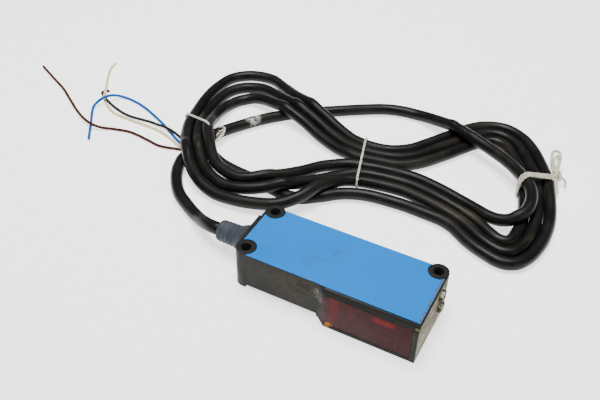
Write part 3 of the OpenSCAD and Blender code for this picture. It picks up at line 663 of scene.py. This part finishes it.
def panel_paint():
    p = Paint("panel_smoked", (0.125, 0.11, 0.052), 0.6, specular=0.04)
    p.tint(p.noise(3.4, 0.4, 0.62, detail=5, seed=1.0), (0.07, 0.063, 0.034), 0.8)
    p.tint(p.noise(1.3, 0.52, 0.66, detail=5, seed=2.0), (0.2, 0.175, 0.09), 0.6)
    p.tint(p.noise(0.8, 0.6, 0.7, detail=3, seed=3.0), (0.03, 0.03, 0.02), 0.6)
    p.roughen(p.noise(2, 0.3, 0.7, seed=4.0), 0.3, 0.6)
    p.bump(p.noise(1.2, 0.3, 0.7, detail=4, seed=5.0), 0.3, 0.08)
    return p.done()


def boot_paint():
    p = Paint("boot_rubber", (0.036, 0.043, 0.055), 0.55)
    p.tint(p.noise(4, 0.4, 0.65, seed=1.0), (0.06, 0.068, 0.08), 0.7)
    p.tint(p.noise(0.8, 0.56, 0.7, detail=5, seed=2.0), (0.12, 0.125, 0.13), 0.4)
    p.tint(p.times(p.axis("X", -37.5, -34), p.noise(2, 0.35, 0.6, seed=4.0)),
           (0.02, 0.021, 0.024), 0.6)
    p.roughen(p.noise(3, 0.3, 0.7, seed=3.0), 0.45, 0.7)
    p.bump(p.noise(0.5, 0.3, 0.7, detail=4, seed=5.0), 0.25, 0.04)
    return p.done()


def string_paint():
    p = Paint("cotton_string", (0.68, 0.64, 0.53), 0.85)
    p.shader.inputs["Sheen Weight"].default_value = 0.3
    p.tint(p.noise(2.5, 0.4, 0.65, seed=1.0), (0.42, 0.38, 0.28), 0.6)
    p.tint(p.noise(0.5, 0.55, 0.7, detail=3, seed=2.0), (0.85, 0.82, 0.74), 0.5)
    p.bump(p.noise(0.18, 0.3, 0.7, detail=3, seed=3.0), 0.5, 0.06)
    return p.done()


def moulded_paint(name, color, second, rough=0.45, grain=0.4):
    """Small parts: a moulded or plated surface with uneven colour and a fine grain."""
    p = Paint(name, color, rough)
    p.tint(p.noise(2.0, 0.4, 0.65, seed=1.0), second, 0.6)
    p.roughen(p.noise(1.5, 0.3, 0.7, seed=2.0), rough - 0.1, rough + 0.12)
    p.bump(p.noise(grain, 0.3, 0.7, seed=3.0), 0.15, 0.03)
    return p.done()


def knob_paint(name, height):
    """A dark rotary control with a painted highlight, a pale glint, on its upper edge, and grimy in
    its slot.
    """
    p = Paint(name, (0.05, 0.046, 0.03), 0.55, specular=0.1)
    p.tint(p.noise(1.4, 0.4, 0.62, detail=4, seed=1.0), (0.085, 0.078, 0.048), 0.7)
    # painted highlight: a pale glint above the knob's centre
    painted_highlight = p.times(p.spot((46.8, 5.4, height + 1.9), 1.7, 0.7), p.noise(0.8, 0.3, 0.5, seed=4.0))
    p.tint(painted_highlight, (0.62, 0.58, 0.42), 0.9)
    p.roughen(p.noise(0.9, 0.3, 0.7, seed=2.0), 0.45, 0.7)
    p.bump(p.noise(0.4, 0.3, 0.7, seed=3.0), 0.2, 0.03)
    return p.done()


def metal_paint(name, color, rough):
    p = Paint(name, color, rough, metallic=1.0)
    p.tint(p.noise(1.5, 0.4, 0.7, seed=1.0), tuple(0.6 * c for c in color), 0.5)
    p.roughen(p.noise(1.0, 0.3, 0.7, seed=2.0), rough - 0.08, rough + 0.15)
    return p.done()


def board_paint():
    p = Paint("circuit_board", (0.02, 0.12, 0.045), 0.4)
    p.tint(p.noise(1.4, 0.5, 0.54, detail=0, stretch=(0.3, 2, 1), seed=1.0), (0.03, 0.2, 0.08), 0.7)
    p.tint(p.noise(0.9, 0.66, 0.68, detail=0, seed=2.0), (0.5, 0.42, 0.2), 0.8)
    p.roughen(p.noise(2, 0.3, 0.7, seed=3.0), 0.3, 0.5)
    return p.done()


def lens_paint():
    p = Paint("lens_acrylic", (0.92, 0.94, 0.95), 0.06)
    p.shader.inputs["Transmission Weight"].default_value = 0.9
    p.roughen(p.noise(3, 0.4, 0.7, seed=1.0), 0.04, 0.12)
    return p.done()


# --------------------------------------------------------------------------------------------
# Cable pieces


def make_cable(material):
    """The whole lead as one tube, and its centreline for the ties."""
    line = along(settle(along(guide_points(), GUIDE_STEP), GUIDE_STEP), LINE_STEP)
    obj = tube("lead_jacket", line * MM, CABLE_R * MM, sides=20, hollow_end=1.2 * MM)
    obj.data.materials.append(material)
    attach(obj, BODY)
    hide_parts("cable_lead", "cable_hank", "cable_tail")
    return obj, line


def make_wires(paints):
    """The four conductors out of the jacket's cut end."""
    for name, points in WIRES.items():
        line = along(points, WIRE_STEP)
        obj = tube("wire_" + name, line * MM, WIRE_R * MM, sides=12)
        obj.data.materials.append(paints[name])
        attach(obj, BODY)
        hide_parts("conductor_" + name)


def hull_around(centres, radius):
    """The taut loop round some circles in a plane, as points in order."""
    circle = np.linspace(0, 2 * math.pi, 40, endpoint=False)
    dots = np.array([(s + radius * math.cos(a), h + radius * math.sin(a))
                     for s, h in centres for a in circle])
    dots = dots[np.lexsort((dots[:, 1], dots[:, 0]))]

    def half(run):
        kept = []
        for p in run:
            while len(kept) > 1:
                a, b = kept[-2], kept[-1]
                if (b[0] - a[0]) * (p[1] - a[1]) - (b[1] - a[1]) * (p[0] - a[0]) > 0:
                    break
                kept.pop()
            kept.append(p)
        return kept[:-1]
    return np.array(half(dots) + half(dots[::-1]))


def closed_steps(points, step):
    """Equal steps round a closed line."""
    ring = np.vstack([points, points[:1]])
    run = np.r_[0, np.cumsum(np.linalg.norm(np.diff(ring, axis=0), axis=1))]
    at = np.linspace(0, run[-1], max(12, int(run[-1] / step)), endpoint=False)
    return np.stack([np.interp(at, run, ring[:, k]) for k in range(ring.shape[1])], axis=1)


def tie_loop(line, place, shift=0.0, slack=0.0):
    """The path of a string round the strands that cross a tie's upright plane."""
    cx, cy, turn, reach = place
    across = np.array([math.cos(math.radians(turn)), math.sin(math.radians(turn))])
    normal = np.array([-across[1], across[0]])
    middle = np.array([cx, cy]) + normal * shift
    flat = line[:, :2] - middle
    beyond = flat @ normal
    aside = flat @ across
    hits = []
    for i in np.nonzero(beyond[:-1] * beyond[1:] <= 0)[0]:
        if abs(aside[i]) < reach:
            hits.append((aside[i], line[i, 2]))
    loop = hull_around(hits, CABLE_R + STRING_R + slack)
    loop[:, 1] = np.maximum(loop[:, 1], STRING_R)
    loop = closed_steps(loop, LOOP_STEP)
    return np.array([(*(middle + across * s), h) for s, h in loop])


PLIES = 2
LOOP_STEP = 0.5                            # spacing of the points along a string
SEAM = 8                                   # last steps of a closed ply that ease together


def twine(name, path, radius, closed, material, pitch=3.2):
    """Twisted string: plies wind round the path."""
    path = np.asarray(path, float)
    tangent, side = frames_along(path, closed)
    other = np.cross(tangent, side)
    run = np.r_[0, np.cumsum(np.linalg.norm(np.diff(path, axis=0), axis=1))]
    turns = run / pitch
    if closed:
        whole = max(1, round(float(run[-1]) / pitch))
        turns = np.arange(len(path)) / len(path) * whole
    parts = []
    for ply in range(PLIES):
        a = 2 * math.pi * (turns + ply / PLIES)
        offset = 0.5 * radius * (side * np.cos(a)[:, None] + other * np.sin(a)[:, None])
        # the side vectors of a closed loop don't meet exactly, so ease the last steps together
        spun = path + offset
        if closed:
            blend = np.clip((np.arange(len(path)) - len(path) + SEAM) / SEAM, 0, 1)[:, None]
            spun = spun * (1 - blend) + (path + offset[0]) * blend
        part = tube(name + "_ply", spun * MM, 0.62 * radius * MM, sides=8, closed=closed)
        part.data.materials.append(material)
        parts.append(part)
    return parts


def make_tie(name, line, strings, ends, material):
    """A string tie: its loops round the strands, its knot and its loose ends."""
    parts = []
    for shift in strings:
        loop = tie_loop(line, TIES[name], shift, 0.12 * abs(shift))
        parts += twine(name, loop, STRING_R, True, material)
    for points, radius in ends:
        parts += twine(name, along(points, LOOP_STEP), radius, False, material, pitch=2.6)
    obj = join("string_tie_" + name, parts)
    for polygon in obj.data.polygons:
        polygon.use_smooth = True
    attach(obj, BODY)
    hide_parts("hank_tie_" + name)
    return obj


KNOT_STEPS = 24


def knot_points(centre, size, turn):
    """An overhand knot as a tight trefoil round a point, turned about the upright axis."""
    c, s = math.cos(turn), math.sin(turn)
    points = []
    for k in range(KNOT_STEPS + 1):
        a = 2 * math.pi * k / KNOT_STEPS
        x = math.sin(a) + 2 * math.sin(2 * a)
        y = math.cos(a) - 2 * math.cos(2 * a)
        z = -math.sin(3 * a)
        points.append((centre[0] + size * (c * x - s * y) / 3,
                       centre[1] + size * (s * x + c * y) / 3,
                       centre[2] + size * z / 2))
    return points


# --------------------------------------------------------------------------------------------
# Boot

BOOT_WALL = -33.4                          # face of the pad that the boot stands on
BOOT_LINE = [                              # distance from the pad and radius
    (-0.6, 6.1), (0.0, 6.3), (1.2, 6.3), (2.2, 6.15), (3.2, 5.75), (4.4, 5.15), (5.6, 4.7),
    (6.6, 4.55), (12.6, 4.4), (13.6, 4.3),
]
BOOT_LIP = [(13.85, 4.05), (13.98, 3.6), (14.0, 3.1)]
RIB_START = 6.0
RIB_PITCH = 1.85
RIB_COUNT = 4
RIB_HEIGHT = 0.32


def boot_profile():
    """The rubber boot's outline: flare, waist, soft ribs and a rounded lip."""
    far = np.array([p[0] for p in BOOT_LINE])
    wide = np.array([p[1] for p in BOOT_LINE])
    profile = [(float(far[0]), CABLE_R + 0.1)]
    for x in np.linspace(far[0], far[-1], 90):
        radius = float(np.interp(x, far, wide))
        rib = (x - RIB_START) / RIB_PITCH
        if 0 < rib < RIB_COUNT:
            radius += RIB_HEIGHT * (abs(math.sin(math.pi * rib)) ** 0.6 - 0.4)
        profile.append((float(x), radius))
    profile += BOOT_LIP + [(13.9, CABLE_R + 0.05), (12.8, CABLE_R - 0.05)]
    return [(x * MM, r * MM) for x, r in profile]


# --------------------------------------------------------------------------------------------
# Stage

FLOOR_REACH = 3.0
FLOOR_GLOW = 1.5
WORLD_GLOW = 0.12
KEY_POWER = 20
FILL_POWER = 1.6


def make_stage():
    """A plain pale floor, centred under the object."""
    low, high = np.array(cad_box[0]), np.array(cad_box[1])
    centre = (low + high) / 2
    corners = [(centre[0] + dx * FLOOR_REACH, centre[1] + dy * FLOOR_REACH, 0)
               for dx, dy in ((-1, -1), (1, -1), (1, 1), (-1, 1))]
    floor = add_mesh("floor", corners, [(0, 1, 2, 3)], False)
    p = Paint("pale_floor", (0.9, 0.9, 0.9), 0.9, specular=0.1)
    p.shader.inputs["Emission Color"].default_value = (1, 1, 1, 1)
    p.shader.inputs["Emission Strength"].default_value = FLOOR_GLOW
    floor.data.materials.append(p.done())


def area_light(name, place, target, size, power):
    data = bpy.data.lights.new(name, "AREA")
    data.shape = "RECTANGLE"
    data.size = size[0]
    data.size_y = size[1]
    data.energy = power
    lamp = bpy.data.objects.new(name, data)
    lamp.location = place
    lamp.rotation_euler = (Vector(target) - Vector(place)).to_track_quat("-Z", "Y").to_euler()
    bpy.context.scene.collection.objects.link(lamp)


def make_lights():
    """A dim even surround, a large soft key overhead and a weak fill on the end face."""
    world = bpy.data.worlds.new("studio")
    world.use_nodes = True
    back = world.node_tree.nodes["Background"]
    back.inputs["Color"].default_value = (1, 1, 1, 1)
    back.inputs["Strength"].default_value = WORLD_GLOW
    bpy.context.scene.world = world
    area_light("key", (-0.12, 0.12, 1.0), (-0.04, 0.06, 0), (0.7, 0.55), KEY_POWER)
    area_light("fill", (0.9, -0.25, 0.35), (0, 0.03, 0), (0.4, 0.4), FILL_POWER)


# --------------------------------------------------------------------------------------------
# Put it together

def repaint(node, material):
    """Give a CAD node that stays in view its material."""
    slots = bpy.data.objects[node].data.materials
    if len(slots):
        slots[0] = material
    else:
        slots.append(material)


make_camera()
cable, line = make_cable(jacket_paint())
wire_paints = {
    "brown": wire_paint("brown", (0.055, 0.019, 0.01), (0.03, 0.012, 0.007)),
    "white": wire_paint("white", (0.78, 0.68, 0.4), (0.55, 0.42, 0.2)),
    "blue": wire_paint("blue", (0.006, 0.1, 0.4), (0.005, 0.06, 0.22)),
    "black": wire_paint("black", (0.02, 0.02, 0.02), (0.045, 0.045, 0.045)),
}
make_wires(wire_paints)

string = string_paint()
tie_left = make_tie("left", line, [0.0], [
    (knot_points((-87.6, 62.2, 5.0), 1.6, 0.4), 0.5),
    ([(-87.6, 62.8, 5.4), (-88.0, 66.2, 6.2), (-86.2, 66.8, 6.0), (-85.6, 64.0, 4.8),
      (-85.8, 60.4, 4.2), (-86.4, 57.0, 3.2), (-87.8, 56.6, 3.8)], 0.45),
    ([(-87.4, 62.4, 5.2), (-85.4, 65.6, 6.4), (-84.6, 62.8, 5.4), (-85.6, 59.0, 3.4),
      (-86.8, 58.0, 2.4)], 0.4),
], string)
tie_middle = make_tie("middle", line, [0.0], [], string)
tie_right = make_tie("right", line, [-0.9, 0.1, 1.0], [
    (knot_points((64.9, 109.8, 4.4), 2.4, 0.9), 0.75),
    (knot_points((64.3, 111.0, 5.2), 1.8, 2.1), 0.7),
    ([(64.6, 110.4, 4.6), (61.8, 112.8, 6.4), (60.0, 118.6, 7.6), (59.6, 124.2, 7.4),
      (62.2, 125.0, 7.0), (63.6, 121.0, 6.4), (64.2, 115.4, 5.6), (64.8, 111.0, 4.8)], 0.7),
    ([(64.4, 110.2, 4.8), (62.6, 113.6, 6.8), (61.4, 118.0, 7.4), (62.0, 122.4, 7.0),
      (63.2, 118.4, 6.2), (64.0, 113.0, 5.2)], 0.6),
    ([(64.6, 109.2, 4.4), (66.0, 103.4, 4.2), (67.6, 98.8, 3.2), (68.4, 95.2, 2.0)], 0.7),
    ([(64.8, 109.4, 4.0), (66.8, 104.6, 3.2), (68.2, 100.6, 2.2)], 0.6),
    ([(65.0, 109.8, 4.4), (67.6, 110.8, 3.6), (69.4, 110.0, 2.6), (70.0, 107.8, 1.4)], 0.65),
], string)

housing = housing_paint()
edge = housing_paint("housing_edge", (0.03, 0.029, 0.026), 0.3)
softened("housing", 0.25 * MM, housing, edge)
softened("top_cover", 0.12 * MM, cover_paint())
softened("cover_film", 0.06 * MM, film_paint(), film_paint("label_edge", True))
softened("front_window", 0.15 * MM, window_paint())
softened("control_panel", 0.15 * MM, panel_paint())
softened("sensitivity_adjuster", 0.12 * MM, knob_paint("adjuster_nylon", 13.3),
         body="sensitivity_adjuster")
softened("mode_selector", 0.12 * MM, knob_paint("selector_nylon", 7.5),
         body="mode_selector")

boot_foot = (BOOT_WALL * MM, EXIT[1] * MM, EXIT[2] * MM)
boot = lathe("boot_moulded", boot_profile(), boot_foot, (-1, 0, 0))
boot.data.materials.append(boot_paint())
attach(boot, BODY)
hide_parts("cable_boot")

for node, material in (
        ("optics_frame", moulded_paint("frame_plastic", (0.02, 0.02, 0.02), (0.04, 0.04, 0.04))),
        ("emitter_lens", lens_paint()),
        ("optics_board", board_paint()),
        ("emitter_led", moulded_paint("emitter_epoxy", (0.5, 0.03, 0.03), (0.3, 0.02, 0.02), 0.25)),
        ("receiver_photodiode", moulded_paint("detector_epoxy", (0.03, 0.02, 0.06),
                                              (0.06, 0.05, 0.1), 0.25)),
        ("board_screws", metal_paint("zinc_plate", (0.7, 0.7, 0.66), 0.35)),
        ("board_link_pins", metal_paint("gold_plate", (0.85, 0.64, 0.25), 0.25)),
        ("signal_processor", moulded_paint("chip_epoxy", (0.02, 0.02, 0.022), (0.04, 0.04, 0.04))),
        ("board_capacitors", moulded_paint("ceramic", (0.42, 0.28, 0.14), (0.3, 0.2, 0.1), 0.35)),
        ("sensitivity_pot", moulded_paint("pot_case", (0.03, 0.08, 0.3), (0.05, 0.12, 0.35), 0.35)),
        ("mode_switch", moulded_paint("switch_case", (0.7, 0.66, 0.55), (0.6, 0.56, 0.45), 0.4)),
        ("indicator_leds", moulded_paint("indicator", (0.8, 0.6, 0.12), (0.6, 0.4, 0.1), 0.2)),
        ("window_gasket", moulded_paint("seal_rubber", (0.015, 0.015, 0.015),
                                        (0.03, 0.03, 0.03), 0.7)),
        ("conductor_tips", metal_paint("copper", (0.72, 0.35, 0.18), 0.3)),
):
    repaint(node, material)

SHARED_PAINTS = {
    "receiver_lens": "lens_acrylic", "main_board": "circuit_board",
    "control_board": "circuit_board", "output_transistors": "chip_epoxy",
    "board_resistors": "chip_epoxy", "strain_clip": "zinc_plate", "cable_entry": "pvc_jacket",
    "inner_lead_brown": "pvc_brown", "inner_lead_white": "pvc_white",
    "inner_lead_blue": "pvc_blue", "inner_lead_black": "pvc_black",
}
for node, name in SHARED_PAINTS.items():
    repaint(node, bpy.data.materials[name])

make_stage()
make_lights()
